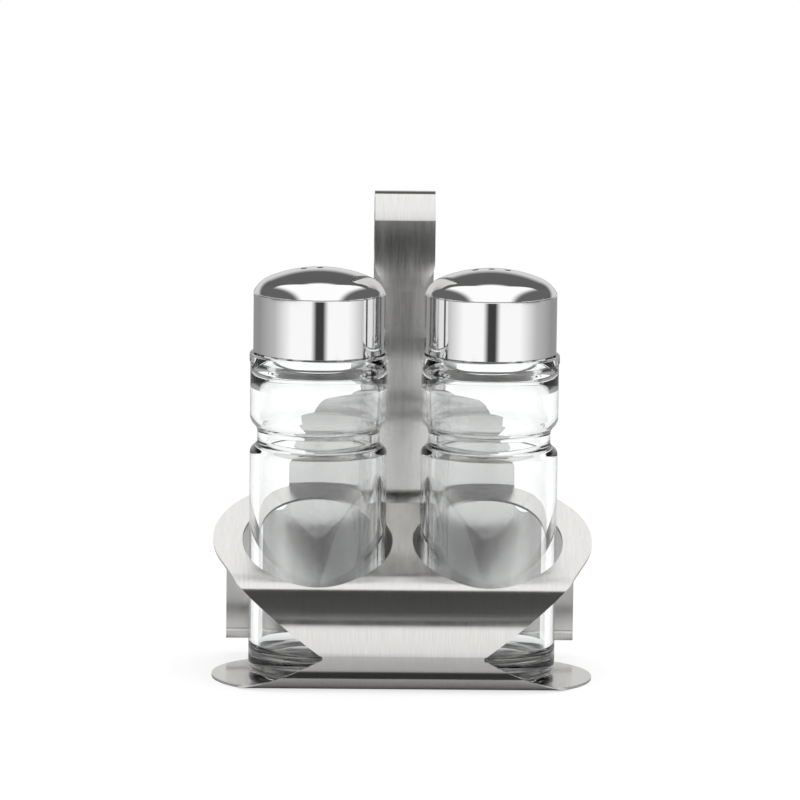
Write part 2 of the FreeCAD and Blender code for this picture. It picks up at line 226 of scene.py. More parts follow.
class StandSizes(PropertyGroup):
    sheet: FloatProperty(name="Sheet", description="Thickness of the sheet, mm",
                         default=0.8, min=0.4, max=2.0)
    half_depth: FloatProperty(name="Half depth", description="From the middle to the back face, mm",
                              default=29.8)
    foot_bend: FloatProperty(name="Foot bend", description="Outer radius of the foot bends, mm", default=7.5)
    wall_radius: FloatProperty(name="Front wall", description="Radius of the front wall, mm", default=41.806)
    wall_turn: FloatProperty(name="Wall turn", description="Angle that the front wall turns, degrees",
                             default=22.0)
    brow_radius: FloatProperty(name="Brow", description="Radius of the bend above the wall, mm", default=18.7)
    tray_slope: FloatProperty(name="Tray slope", description="Slope of the tray, degrees", default=22.5)
    tray_height: FloatProperty(name="Tray height", description="Height of the tray at the shakers, mm",
                               default=40.3)
    lobe_radius: FloatProperty(name="Tray lobe", description="Radius of the tray's round ends, mm",
                               default=30.6)
    hole_back: FloatProperty(name="Hole, back", description="Back edge of a hole up the slope, mm",
                             default=22.731)
    hole_front: FloatProperty(name="Hole, front", description="Front edge of a hole up the slope, mm",
                              default=-24.6)
    hole_half: FloatProperty(name="Hole, half width", description="Half width of a hole, mm", default=22.05)
    base_lobe: FloatProperty(name="Base lobe", description="Radius of the base's round ends, mm",
                             default=23.0)
    strap_half: FloatProperty(name="Strap", description="Half width of the handle strap, mm", default=8.9)
    curl_radius: FloatProperty(name="Curl", description="Outer radius of the handle's curl, mm", default=8.0)
    height: FloatProperty(name="Height", description="Height of the stand, mm", default=140.5)
    edge_break: FloatProperty(name="Edge break", description="Rounding of the cut edges, mm", default=0.13)
    steel: StringProperty(name="Steel", description="Colour of the brushed steel", default="#dddcda")
    grain: FloatProperty(name="Grain", description="Width of a brush line, mm", default=0.3)


class ShakerSizes(PropertyGroup):
    spacing: FloatProperty(name="Place", description="From the middle to each shaker's axis, mm",
                           default=25.0)
    radius: FloatProperty(name="Jar", description="Radius of the jar, mm", default=20.1)
    waist: FloatProperty(name="Waist", description="Radius of the jar's waist, mm", default=17.9)
    wall: FloatProperty(name="Wall", description="Thickness of the glass, mm", default=2.8)
    floor: FloatProperty(name="Jar floor", description="Height of the jar's inner floor, mm", default=7.0)
    ring: FloatProperty(name="Ring", description="Height of the ring under the cap, mm", default=92.9)
    cap_radius: FloatProperty(name="Cap", description="Radius of the cap, mm", default=19.3)
    cap_crease: FloatProperty(name="Cap crease", description="Height of the crease over the cap's side, mm",
                              default=113.3)
    cap_shoulder: FloatProperty(name="Cap shoulder", description="Radius of the cap's shoulder, mm",
                                default=8.1)
    pour_hole: FloatProperty(name="Pour hole", description="Radius of a pour hole, mm", default=1.0)
    pour_step: FloatProperty(name="Pour step", description="Distance between pour holes, mm", default=4.7)
    chrome: StringProperty(name="Cap steel", description="Colour of the polished steel", default="#e6e6e6")
    plastic: StringProperty(name="Insert", description="Colour of the cap's insert", default="#f1f0ec")


# Materials

def add_node(tree, kind, links=None, **settings):
    """Adds a node with its settings; links gives what feeds each of its inputs."""
    node = tree.nodes.new(kind)
    for key, value in settings.items():
        if key.startswith("in_"):
            name = key[3:]
            socket = node.inputs[int(name)] if name.isdigit() else node.inputs[name.replace("_", " ")]
            socket.default_value = value
        else:
            setattr(node, key, value)
    for name, source in (links or {}).items():
        tree.links.new(source, node.inputs[name])
    return node


def new_material(name):
    material = bpy.data.materials.new(name)
    material.use_nodes = True
    tree = material.node_tree
    tree.nodes.clear()
    shader = add_node(tree, "ShaderNodeBsdfPrincipled")
    output = add_node(tree, "ShaderNodeOutputMaterial", {"Surface": shader.outputs["BSDF"]})
    return material, tree, shader, output


def brushed_stainless(name, colour, grain):
    """Stainless sheet, brushed across its folds: upright streaks that spread a reflection sideways."""
    material, tree, shader, _ = new_material(name)
    place = add_node(tree, "ShaderNodeTexCoord")
    # Brush lines one grain wide, up the sheet on every face, and broader bands of them. The lines are
    # drawn coarser than real ones, so that they show. Lengths and the band's width are in grains.
    line_length = 24
    band_width = 6
    band_length = 150
    groove_shade = 0.89
    across = 1.0 / (grain * MM)
    stretch = add_node(tree, "ShaderNodeMapping", {"Vector": place.outputs["Object"]},
                       in_Scale=(across, across / line_length, across / line_length))
    lines = add_node(tree, "ShaderNodeTexNoise", {"Vector": stretch.outputs["Vector"]},
                     in_Scale=1.0, in_Detail=3.0, in_Roughness=0.6)
    broad = add_node(tree, "ShaderNodeMapping", {"Vector": place.outputs["Object"]},
                     in_Scale=(across / band_width, across / band_length, across / band_length))
    bands = add_node(tree, "ShaderNodeTexNoise", {"Vector": broad.outputs["Vector"]},
                     in_Scale=1.0, in_Detail=2.0)
    mixed = add_node(tree, "ShaderNodeMath", {0: lines.outputs["Fac"], 1: bands.outputs["Fac"]},
                     operation="ADD")
    base = linear(colour)
    tint = add_node(tree, "ShaderNodeValToRGB", {"Fac": lines.outputs["Fac"]})
    tint.color_ramp.elements[0].position = 0.30
    tint.color_ramp.elements[0].color = [c * groove_shade for c in base[:3]] + [1]
    tint.color_ramp.elements[1].position = 0.70
    tint.color_ramp.elements[1].color = base
    rough = add_node(tree, "ShaderNodeMapRange", {"Value": mixed.outputs[0]},
                     in_From_Min=0.6, in_From_Max=1.4, in_To_Min=0.16, in_To_Max=0.22)
    bump = add_node(tree, "ShaderNodeBump", {"Height": lines.outputs["Fac"]},
                    in_Strength=0.08, in_Distance=0.02 * MM)
    # The radial tangent runs up the front wall; a quarter turn lays the spread of reflections level
    around = add_node(tree, "ShaderNodeTangent", direction_type="RADIAL", axis="X")
    tree.links.new(tint.outputs["Color"], shader.inputs["Base Color"])
    tree.links.new(rough.outputs["Result"], shader.inputs["Roughness"])
    tree.links.new(bump.outputs["Normal"], shader.inputs["Normal"])
    tree.links.new(around.outputs["Tangent"], shader.inputs["Tangent"])
    shader.inputs["Metallic"].default_value = 1.0
    shader.inputs["Anisotropic"].default_value = 0.95
    shader.inputs["Anisotropic Rotation"].default_value = 0.25
    return material


def polished_stainless(name, colour, roughness, wear):
    """Steel buffed to a mirror, with faint wiping marks a few millimetres long."""
    mark_size = 4.0
    material, tree, shader, _ = new_material(name)
    place = add_node(tree, "ShaderNodeTexCoord")
    marks = add_node(tree, "ShaderNodeTexNoise", {"Vector": place.outputs["Object"]},
                     in_Scale=1.0 / (mark_size * MM), in_Detail=4.0, in_Roughness=0.65)
    rough = add_node(tree, "ShaderNodeMapRange", {"Value": marks.outputs["Fac"]},
                     in_From_Min=0.35, in_From_Max=0.75, in_To_Min=roughness, in_To_Max=roughness + wear)
    tree.links.new(rough.outputs["Result"], shader.inputs["Roughness"])
    shader.inputs["Base Color"].default_value = linear(colour)
    shader.inputs["Metallic"].default_value = 1.0
    return material


def soda_lime_glass(name):
    """Pressed soda-lime glass: clear and smooth, with a slight unevenness of the wall."""
    wave_size = 14.0
    material, tree, shader, _ = new_material(name)
    place = add_node(tree, "ShaderNodeTexCoord")
    waves = add_node(tree, "ShaderNodeTexNoise", {"Vector": place.outputs["Object"]},
                     in_Scale=1.0 / (wave_size * MM), in_Detail=1.0)
    bump = add_node(tree, "ShaderNodeBump", {"Height": waves.outputs["Fac"]},
                    in_Strength=0.25, in_Distance=0.10 * MM)
    tree.links.new(bump.outputs["Normal"], shader.inputs["Normal"])
    shader.inputs["Base Color"].default_value = linear("#fbfcfc")
    shader.inputs["Roughness"].default_value = 0.0
    shader.inputs["IOR"].default_value = 1.52
    shader.inputs["Transmission Weight"].default_value = 1.0
    return material


def moulded_polypropylene(name, colour):
    """Injection-moulded polypropylene: a soft sheen with a fine grain, drawn coarser so that it shows."""
    grain_size = 0.5
    material, tree, shader, _ = new_material(name)
    place = add_node(tree, "ShaderNodeTexCoord")
    grain = add_node(tree, "ShaderNodeTexNoise", {"Vector": place.outputs["Object"]},
                     in_Scale=1.0 / (grain_size * MM), in_Detail=2.0)
    bump = add_node(tree, "ShaderNodeBump", {"Height": grain.outputs["Fac"]},
                    in_Strength=0.15, in_Distance=0.05 * MM)
    rough = add_node(tree, "ShaderNodeMapRange", {"Value": grain.outputs["Fac"]},
                     in_To_Min=0.42, in_To_Max=0.56)
    tree.links.new(bump.outputs["Normal"], shader.inputs["Normal"])
    tree.links.new(rough.outputs["Result"], shader.inputs["Roughness"])
    shader.inputs["Base Color"].default_value = linear(colour)
    return material


# The stand

def stand_profile(s):
    """Side view of the whole folded sheet, as (y, z), outer line and inner line."""
    top = s.height - s.curl_radius
    curl_y = s.half_depth - s.curl_radius
    foot_y = s.half_depth - s.foot_bend
    wall_centre = (-s.half_depth + s.wall_radius, s.foot_bend)
    turn_angle = math.radians(s.wall_turn)
    reach = s.wall_radius - s.brow_radius
    brow_centre = (wall_centre[0] - reach * math.cos(turn_angle),
                   wall_centre[1] + reach * math.sin(turn_angle))
    slope = math.radians(s.tray_slope)
    lines = []
    for inset in (0.0, s.sheet):
        points = [(s.half_depth - 2 * s.curl_radius + inset, TONGUE_BOTTOM)]
        points += arc((curl_y, top), s.curl_radius - inset, 180, 0, 72)
        points += arc((foot_y, s.foot_bend), s.foot_bend - inset, 0, -90, 30)
        points += arc((-foot_y, s.foot_bend), s.foot_bend - inset, -90, -180, 36)
        points += arc(wall_centre, s.wall_radius - inset, 180, 180 - s.wall_turn, 14)[1:]
        points += arc(brow_centre, s.brow_radius - inset, 180 - s.wall_turn, 90 + s.tray_slope, 32)[1:]
        past_lobe = 0.1
        end = s.lobe_radius + past_lobe
        points.append((end * math.cos(slope) + inset * math.sin(slope),
                       s.tray_height + end * math.sin(slope) - inset * math.cos(slope)))
        lines.append(points)
    return lines


def back_cutter(s, side):
    """What the back sheet lacks on one side: its shoulder, wing, lower edge and the slot at the neck."""
    root_sag = 0.5
    fillet = (SHOULDER_SPRING[0] + SHOULDER_FILLET, PANEL_TOP + SHOULDER_FILLET)
    corner = (PANEL_HALF - PANEL_ROUND, PANEL_TOP - PANEL_ROUND)
    slot_side = NECK_HALF + RELIEF
    slot_top = s.foot_bend + RELIEF
    inside = s.half_depth - s.sheet - 0.2
    points = [(s.strap_half, ABOVE), (s.strap_half, STRAP_ROOT)]
    points += sagged((s.strap_half, STRAP_ROOT), SHOULDER_END, root_sag, 8)[1:]
    points += arc_through(SHOULDER_END, SHOULDER_MIDDLE, SHOULDER_SPRING, 40)[1:]
    points += arc(fillet, SHOULDER_FILLET, 180, 270, 10)
    points += arc(corner, PANEL_ROUND, 90, 0, 10)
    points += [(PANEL_HALF, PANEL_BOTTOM), (slot_side, PANEL_BOTTOM), (slot_side, slot_top)]
    points += [(NECK_HALF, slot_top), (NECK_HALF, BELOW), (BESIDE, BELOW), (BESIDE, ABOVE)]
    return draw_prism([(side * x, inside, z) for x, z in points], (0, BEHIND - inside, 0))


def base_corner(s):
    """How far out the base's round end meets the front foot bend."""
    drop = s.half_depth - s.foot_bend + BASE_LOBE_Y
    return BASE_LOBE_X + math.sqrt(s.base_lobe ** 2 - drop ** 2)


def base_cutter(s, side):
    """What lies outside the base plate's round end and beside its neck."""
    corner = base_corner(s)
    foot_y = s.half_depth - s.foot_bend
    front = -foot_y - 0.05
    back = s.half_depth - s.sheet - 0.1
    low = math.degrees(math.atan2(-foot_y - BASE_LOBE_Y, corner - BASE_LOBE_X))
    points = [(NECK_HALF, back), (NECK_HALF, BASE_LOBE_Y + s.base_lobe)]
    points += arc((BASE_LOBE_X, BASE_LOBE_Y), s.base_lobe, 90, low, 72)
    points += [(corner, front), (BESIDE, front), (BESIDE, back)]
    return draw_prism([(side * x, y, BELOW) for x, y in points], (0, 0, s.foot_bend + RELIEF - BELOW))


def notch_edges(s):
    """Front view of the notch: the lower edge, the round tip and the upper edge, as (x, z)."""
    tip_low = (NOTCH_TIP_X + NOTCH_ROUND, NOTCH_TIP_Z - NOTCH_ROUND)
    tip_high = (NOTCH_TIP_X + NOTCH_ROUND, NOTCH_TIP_Z + NOTCH_ROUND)
    touch_x = lobe_touch(s)[0]
    touch_z = NOTCH_TOP_Z + (touch_x - TRAY_CORNER_X) * math.tan(math.radians(s.tray_slope))
    low = sagged((base_corner(s), 0.0), tip_low, NOTCH_SAG, 24)
    tip = arc_through(tip_low, (NOTCH_TIP_X, NOTCH_TIP_Z), tip_high, 8)
    high = sagged(tip_high, (touch_x, touch_z), -NOTCH_BULGE, 30)
    return low + tip[1:] + high[1:]


def notch_cutters(s, side):
    """What the front wall lacks on one side: the notch, and its upper part where the brow leans back."""
    foot_y = s.half_depth - s.foot_bend
    brow_x = 30
    brow_z = 20
    upper_floor = 18.0
    upper_depth = 20.0
    edge = notch_edges(s)
    top = edge[-1][1]
    whole = [(edge[0][0], BELOW)] + edge + [(BESIDE, top), (BESIDE, BELOW)]
    upper = [p for p in edge if p[0] > brow_x and p[1] > brow_z]
    upper = [(upper[0][0], upper_floor)] + upper + [(BESIDE, top), (BESIDE, upper_floor)]
    front = draw_prism([(side * x, -BEHIND, z) for x, z in whole], (0, BEHIND - foot_y, 0))
    back = draw_prism([(side * x, -foot_y - 0.01, z) for x, z in upper], (0, upper_depth, 0))
    return [front, back]


def lobe_touch(s):
    """Where the straight side of the tray touches its round end, and the angle there."""
    dx = TRAY_CORNER_X - HOLE_X
    angle = math.atan2(TRAY_CORNER_V, dx) + math.acos(s.lobe_radius / math.hypot(dx, TRAY_CORNER_V))
    return HOLE_X + s.lobe_radius * math.cos(angle), s.lobe_radius * math.sin(angle), math.degrees(angle)


def on_tray(s, x, v, height):
    """A point given along the tray's slope and square to it, in the frame of the stand."""
    slope = math.radians(s.tray_slope)
    return (x, v * math.cos(slope) - height * math.sin(slope),
            s.tray_height + v * math.sin(slope) + height * math.cos(slope))


def tray_cutters(s, side):
    """What lies outside the tray: round its lobe and behind the web, and beside its front corner."""
    slope = math.radians(s.tray_slope)
    up = Vector((0, -math.sin(slope), math.cos(slope)))
    x, v, angle = lobe_touch(s)
    valley = HOLE_X - VALLEY_HALF
    inner = math.degrees(math.atan2(math.sqrt(s.lobe_radius ** 2 - valley ** 2), -valley))
    flat = (x - TRAY_CORNER_X) / (v - TRAY_CORNER_V)
    # The two cutters overlap a little along the straight side, so that no sliver stays between them
    lobe_start = 10.5
    front_end = 11.0
    lobe_v = TRAY_CORNER_V + lobe_start
    front_v = TRAY_CORNER_V + front_end
    over_middle = -0.5
    far = s.lobe_radius + 0.2
    lobe = [(TRAY_CORNER_X + flat * lobe_start, lobe_v)]
    lobe += arc((HOLE_X, 0.0), s.lobe_radius, angle, inner, 120)
    lobe += arc((VALLEY_HALF - VALLEY_ROUND, VALLEY_V + VALLEY_ROUND), VALLEY_ROUND, 0, -90, 10)
    lobe += [(over_middle, VALLEY_V), (over_middle, far), (BESIDE, far), (BESIDE, lobe_v)]
    front = [(TRAY_CORNER_X, TRAY_CORNER_V), (TRAY_CORNER_X + flat * front_end, front_v)]
    front += [(BESIDE, front_v), (BESIDE, TRAY_CORNER_V)]
    return [
        draw_prism([on_tray(s, side * px, pv, -1.2) for px, pv in lobe], up * 2.7),
        draw_prism([on_tray(s, side * px, pv, -5.0) for px, pv in front], up * 8.0),
    ]


def hole_cutter(s, side):
    """An oval block that goes square through the tray at a shaker's hole."""
    deselect()
    middle = (s.hole_back + s.hole_front) / 2
    bpy.ops.mesh.primitive_cylinder_add(vertices=160, radius=MM, depth=7 * MM, location=(0, 0, 0))
    hole = bpy.context.object
    hole.scale = (s.hole_half, (s.hole_back - s.hole_front) / 2, 1.0)
    bpy.ops.object.transform_apply(location=False, rotation=False, scale=True)
    hole.rotation_euler = (math.radians(s.tray_slope), 0, 0)
    hole.location = Vector(on_tray(s, side * HOLE_X, middle, -1.5)) * MM
    bpy.ops.object.transform_apply(location=True, rotation=True, scale=False)
    return hole


def tongue_cutter(s):
    """What lies outside the round end of the curl's tongue."""
    edge = 9.6
    round_z = TONGUE_BOTTOM + s.strap_half
    under = TONGUE_BOTTOM - 1.6
    points = [(-edge, round_z)] + arc((0.0, round_z), s.strap_half, 180, 360, 48)
    points += [(edge, round_z), (edge, under), (-edge, under)]
    return draw_prism([(x, 12.5, z) for x, z in points], (0, 4.0, 0))


def strap_cutter(s, side):
    """What lies beside the strap and its curl."""
    front = 12.0
    foot = 100.0
    low, high = sorted((side * s.strap_half, side * BESIDE))
    points = [(low, front, foot), (high, front, foot), (high, BEHIND, foot), (low, BEHIND, foot)]
    return draw_prism(points, (0, 0, ABOVE - foot))


class SHAKERS_OT_stand(Operator):
    """Folds the stand from one sheet and cuts its outline, holes and notches"""
    bl_idname = "shakers.stand"
    bl_label = "Folded stand"

    def execute(self, context):
        s = context.scene.shaker_stand
        outer, inner = stand_profile(s)
        sheet = draw_prism([(-BLANK_HALF, y, z) for y, z in outer + inner[::-1]], (2 * BLANK_HALF, 0, 0))
        for side in SIDES.values():
            cut(sheet, back_cutter(s, side))
            cut(sheet, strap_cutter(s, side))
            cut(sheet, base_cutter(s, side))
            for cutter in notch_cutters(s, side) + tray_cutters(s, side):
                cut(sheet, cutter)
            cut(sheet, hole_cutter(s, side))
        cut(sheet, tongue_cutter(s))
        only(sheet)
        bpy.ops.object.mode_set(mode="EDIT")
        bpy.ops.mesh.select_all(action="SELECT")
        bpy.ops.mesh.remove_doubles(threshold=0.01 * MM)
        bpy.ops.object.mode_set(mode="OBJECT")
        apply_modifier(sheet, "BEVEL", width=s.edge_break * MM, segments=2, limit_method="ANGLE",
                       angle_limit=math.radians(50), miter_outer="MITER_ARC")
        settle(sheet, "folded_stand")
        smooth(sheet, 30)
        sheet.data.materials.append(brushed_stainless("brushed_stainless_sheet", s.steel, s.grain))
        sheet.data.materials.append(polished_stainless("polished_stainless_base", s.steel, 0.10, 0.06))
        # The base plate's upper face is the smoother one, and mirrors the jars' feet
        for face in sheet.data.polygons:
            if face.normal.z > 0.99 and face.center.z < 1.0 * MM:
                face.material_index = 1
        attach(sheet, "stand")
        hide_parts("stand_base", "stand_tray", "stand_back")
        return {"FINISHED"}


# The shakers

def s_curve(a, b, steps):
    """Two equal arcs from a to b that leave and arrive upright, as (radius, height) points."""
    dr, dz = (b[0] - a[0]) / 2, (b[1] - a[1]) / 2
    radius = (dr * dr + dz * dz) / (2 * abs(dr))
    end = math.asin(abs(dz) / radius)
    first, second = [], []
    for i in range(1, steps + 1):
        angle = end * i / steps
        out = math.copysign(radius * (1 - math.cos(angle)), dr)
        up = math.copysign(radius * math.sin(angle), dz)
        first.append((a[0] + out, a[1] + up))
        second.append((b[0] - out, b[1] - up))
    return first + second[-2::-1] + [b]


def jar_profile(s):
    """From the middle of the foot up the outside, over the mouth and down the inside to the floor."""
    wide, waist, ring = s.radius, s.waist, s.ring
    inner, inner_waist = wide - s.wall, waist - s.wall
    waist_from, waist_low, waist_high, waist_to = 65.8, 69.8, 71.8, 77.0
    neck, mouth = 16.2, 13.4
    shoulder_top, shoulder_foot = 96.3, 84.5
    floor_round = 2.8
    points = [(1.0, 1.6), (11.0, 1.5), (14.0, 1.2), (15.6, 0.8), (17.4, 0.8)]
    points += arc((wide - 2.2, 3.0), 2.2, -80, 0, 10)
    points += [(wide, 30.0), (wide, 60.0), (wide, waist_from)]
    points += s_curve((wide, waist_from), (waist, waist_low), 8)
    points += [(waist, waist_high)]
    points += s_curve((waist, waist_high), (wide, waist_to), 8)
    points += [(wide, ring - 0.4)]
    points += arc((wide, ring + 0.25), 0.25, -60, 0, 3)
    points += arc((wide - 0.35, ring + 2.0), 0.6, 0, 90, 6)
    # the neck, with its ring of thread, and the mouth
    points += [(neck, 95.5), (neck, 103.7), (neck + 0.4, 104.0), (neck + 0.8, 104.3)]
    points += [(neck + 0.8, 104.9), (neck + 0.4, 105.2), (neck, 105.5)]
    points += arc((neck - 0.5, 110.7), 0.5, 0, 90, 4) + arc((mouth + 0.5, 110.7), 0.5, 90, 180, 4)
    points += [(mouth, shoulder_top)]
    points += s_curve((mouth, shoulder_top), (inner, shoulder_foot), 12)
    points += [(inner, waist_to)]
    points += s_curve((inner, waist_to), (inner_waist, waist_high), 8)
    points += [(inner_waist, waist_low)]
    points += s_curve((inner_waist, waist_low), (inner, waist_from), 8)
    points += [(inner, 40.0), (inner, s.floor + floor_round)]
    points += arc((inner - floor_round, s.floor + floor_round), floor_round, 0, -90, 10)[1:]
    points += [(8.0, s.floor + 0.02), (1.0, s.floor + 0.05)]
    return points


def cap_profile(s):
    """From the inside of the dome down to the rim and up the outside to the top."""
    first, last = math.radians(SHOULDER_FROM), math.radians(SHOULDER_TO)
    centre = (s.cap_radius - s.cap_shoulder * math.cos(first),
              s.cap_crease - s.cap_shoulder * math.sin(first))
    crown = centre[0] / math.cos(last) + s.cap_shoulder
    crown_z = centre[1] - (crown - s.cap_shoulder) * math.sin(last)
    steel = 0.5
    inner_first = math.degrees(math.acos((s.cap_radius - steel - centre[0]) / (s.cap_shoulder - steel)))
    inside = arc((0, crown_z), crown - steel, CROWN_END, SHOULDER_TO, 14)
    inside += arc(centre, s.cap_shoulder - steel, SHOULDER_TO, inner_first, 12)[1:]
    lip = s.ring + 2.9
    rim = [(s.cap_radius - steel, lip + 0.2), (s.cap_radius - steel + 0.1, lip), (s.cap_radius - 0.1, lip),
           (s.cap_radius, lip + 0.15)]
    # a shallow groove under the crease, which the dome rises from
    groove = [(s.cap_radius, s.cap_crease - 0.36), (s.cap_radius - 0.05, s.cap_crease - 0.28),
              (s.cap_radius - 0.16, s.cap_crease - 0.20)]
    groove_top = SHOULDER_FROM + 0.6
    outside = arc(centre, s.cap_shoulder, groove_top, SHOULDER_TO, 24)
    outside += arc((0, crown_z), crown, SHOULDER_TO, CROWN_END, 20)[1:]
    return inside + rim + groove + outside


def insert_profile(s):
    """From the middle of the ceiling down the bore with its thread ridge, and up the outside."""
    outer = s.cap_radius - 0.55
    bore = outer - 1.45
    ridge = 16.6
    ceiling, foot, top = 111.5, 96.4, 113.1
    inside = [(1.0, ceiling), (bore - 0.4, ceiling), (bore, ceiling - 0.4)]
    inside += [(bore, 101.0), (ridge, 100.4), (ridge, 99.8), (bore, 99.2)]
    rim = [(bore, foot + 0.3), (bore + 0.3, foot), (outer - 0.3, foot), (outer, foot + 0.3)]
    outside = [(outer, top - 0.9), (outer - 0.8, top - 0.1), (outer - 1.0, top), (1.0, top)]
    return inside + rim + outside


def pour_cutters(s, side, steps, radius):
    """Upright pins where a cap's pour holes are; steps count from the cap's axis."""
    middle = s.cap_crease + 3.7
    cutters = []
    for step in steps:
        deselect()
        place = (side * s.spacing + step * s.pour_step) * MM
        bpy.ops.mesh.primitive_cylinder_add(vertices=32, radius=radius * MM, depth=14 * MM,
                                            location=(place, 0, middle * MM))
        cutters.append(bpy.context.object)
    return cutters


POUR_ROWS = {"left": (-1, 0), "right": (-1, 0, 1)}


class SHAKERS_OT_jars(Operator):
    """Turns the two glass jars with their waist, ring, neck and thread"""
    bl_idname = "shakers.jars"
    bl_label = "Glass jars"

    def execute(self, context):
        s = context.scene.shaker_pair
        glass = soda_lime_glass("clear_soda_lime_glass")
        for name, side in SIDES.items():
            jar = settle(turn(jar_profile(s), side * s.spacing, 128), name + "_glass_jar")
            smooth(jar, 35)
            jar.data.materials.append(glass)
            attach(jar, name + "_shaker")
            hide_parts(name + "_jar")
        return {"FINISHED"}


class SHAKERS_OT_caps(Operator):
    """Turns the polished caps, drills their pour holes and adds the threaded inserts"""
    bl_idname = "shakers.caps"
    bl_label = "Caps"

    def execute(self, context):
        s = context.scene.shaker_pair
        steel = polished_stainless("polished_stainless_cap", s.chrome, 0.03, 0.03)
        plastic = moulded_polypropylene("moulded_polypropylene", s.plastic)
        for name, side in SIDES.items():
            cap = turn(cap_profile(s), side * s.spacing, 128)
            for cutter in pour_cutters(s, side, POUR_ROWS[name], s.pour_hole):
                cut(cap, cutter)
            settle(cap, name + "_steel_cap")
            smooth(cap, 18)
            cap.data.materials.append(steel)
            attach(cap, name + "_cap")
            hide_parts(name + "_cap_shell")
            insert = turn(insert_profile(s), side * s.spacing, 96)
            for cutter in pour_cutters(s, side, POUR_ROWS[name], s.pour_hole + 0.6):
                cut(insert, cutter)
            settle(insert, name + "_cap_insert")
            smooth(insert, 35)
            insert.data.materials.append(plastic)
            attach(insert, name + "_cap")
            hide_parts(name + "_cap_liner")
        return {"FINISHED"}


# The studio

# What is white behind the set is this much stronger through glass, which makes up for what the walls take
GLASS_LIFT = 0.14


def white_floor(name):
    """A matt white board. Seen straight on or through glass it is white with the set's soft shadow."""
    material, tree, shader, output = new_material(name)
    shader.inputs["Base Color"].default_value = grey(165)
    shader.inputs["Roughness"].default_value = 0.9
    path = add_node(tree, "ShaderNodeLightPath")
    seen = add_node(tree, "ShaderNodeMath",
                    {0: path.outputs["Is Camera Ray"], 1: path.outputs["Is Transmission Ray"]},
                    operation="MAXIMUM")
    # near the set, the lamps give this share of the white, and so the shadow
    lit = 0.28
    glow = add_node(tree, "ShaderNodeEmission", in_Strength=1.0 - lit)
    matt = add_node(tree, "ShaderNodeBsdfDiffuse", in_Color=(lit, lit, lit, 1))
    near = add_node(tree, "ShaderNodeAddShader", {0: glow.outputs[0], 1: matt.outputs[0]})
    lifted = add_node(tree, "ShaderNodeMath", {0: path.outputs["Is Transmission Ray"]},
                      operation="MULTIPLY_ADD", in_1=GLASS_LIFT, in_2=1.0)
    far = add_node(tree, "ShaderNodeEmission", {"Strength": lifted.outputs[0]})
    place = add_node(tree, "ShaderNodeTexCoord")
    distance = add_node(tree, "ShaderNodeVectorMath", {0: place.outputs["Object"]}, operation="LENGTH")
    fade = add_node(tree, "ShaderNodeMapRange", {"Value": distance.outputs["Value"]},
                    interpolation_type="SMOOTHSTEP", in_From_Min=0.06, in_From_Max=0.24)
    both = add_node(tree, "ShaderNodeMixShader", {0: fade.outputs[0], 1: near.outputs[0], 2: far.outputs[0]})
    # metal mirrors the board as grey, out to where it fades away
    edge = add_node(tree, "ShaderNodeMapRange", {"Value": distance.outputs["Value"]},
                    interpolation_type="SMOOTHSTEP", in_From_Min=0.34, in_From_Max=0.44)
    clear = add_node(tree, "ShaderNodeBsdfTransparent")
    board = add_node(tree, "ShaderNodeMixShader",
                     {0: edge.outputs[0], 1: shader.outputs["BSDF"], 2: clear.outputs[0]})
    mix = add_node(tree, "ShaderNodeMixShader", {0: seen.outputs[0], 1: board.outputs[0], 2: both.outputs[0]})
    tree.links.new(mix.outputs[0], output.inputs["Surface"])
    return material


def painted_reflection_card(name, dark, near, far):
    """A dark sheet that only reflections see, which paints dark reflections and a reflected shadow into the
    steel: clear `far` mm in front of the middle, opaque from `near` mm on.
    """
    material, tree, shader, output = new_material(name)
    # painted reflection: this grey is what the steel mirrors where the card stands
    shader.inputs["Base Color"].default_value = grey(dark)
    shader.inputs["Roughness"].default_value = 1.0
    place = add_node(tree, "ShaderNodeTexCoord")
    split = add_node(tree, "ShaderNodeSeparateXYZ", {0: place.outputs["Object"]})
    thin = add_node(tree, "ShaderNodeMapRange", {"Value": split.outputs["Y"]},
                    interpolation_type="SMOOTHSTEP", in_From_Min=-far * MM, in_From_Max=-near * MM)
    clear = add_node(tree, "ShaderNodeBsdfTransparent")
    mix = add_node(tree, "ShaderNodeMixShader",
                   {0: thin.outputs[0], 1: clear.outputs[0], 2: shader.outputs["BSDF"]})
    tree.links.new(mix.outputs[0], output.inputs["Surface"])
    return material


# What polished metal mirrors, as grey levels chosen for this set and not measured anywhere, each with
# its angle in degrees from the front. Below the horizon, round the set: two soft boxes with a gap
# between them for the camera, and plain walls behind.
GAP = 60
BOX = 245
WALL = 180
BACK = 140
AROUND = ((-180, BACK), (-130, BACK), (-85, WALL), (-50, BOX), (-15, BOX), (-6, GAP),
          (6, GAP), (15, BOX), (50, BOX), (85, WALL), (130, BACK), (180, BACK))
# Above it, from below the front over the top to the back: a panel overhead with a dark gap at its back
OVER = ((-180, BACK), (-20, BACK), (0, 230), (40, 250), (128, 250),
        (130, 90), (155, 90), (165, 200), (180, 200))
# and on both sides, high up
CORNER = 95


def levels(tree, angle, table):
    """A ramp over a full turn with the table's grey levels; the angle comes in radians."""
    turn_part = add_node(tree, "ShaderNodeMath", {0: angle},
                         operation="MULTIPLY_ADD", in_1=1 / (2 * math.pi), in_2=0.5)
    ramp = add_node(tree, "ShaderNodeValToRGB", {"Fac": turn_part.outputs[0]})
    stops = ramp.color_ramp.elements
    stops[0].position, stops[0].color = table[0][0] / 360 + 0.5, grey(table[0][1])
    stops[1].position, stops[1].color = table[-1][0] / 360 + 0.5, grey(table[-1][1])
    for degrees, level in table[1:-1]:
        stops.new(degrees / 360 + 0.5).color = grey(level)
    return ramp


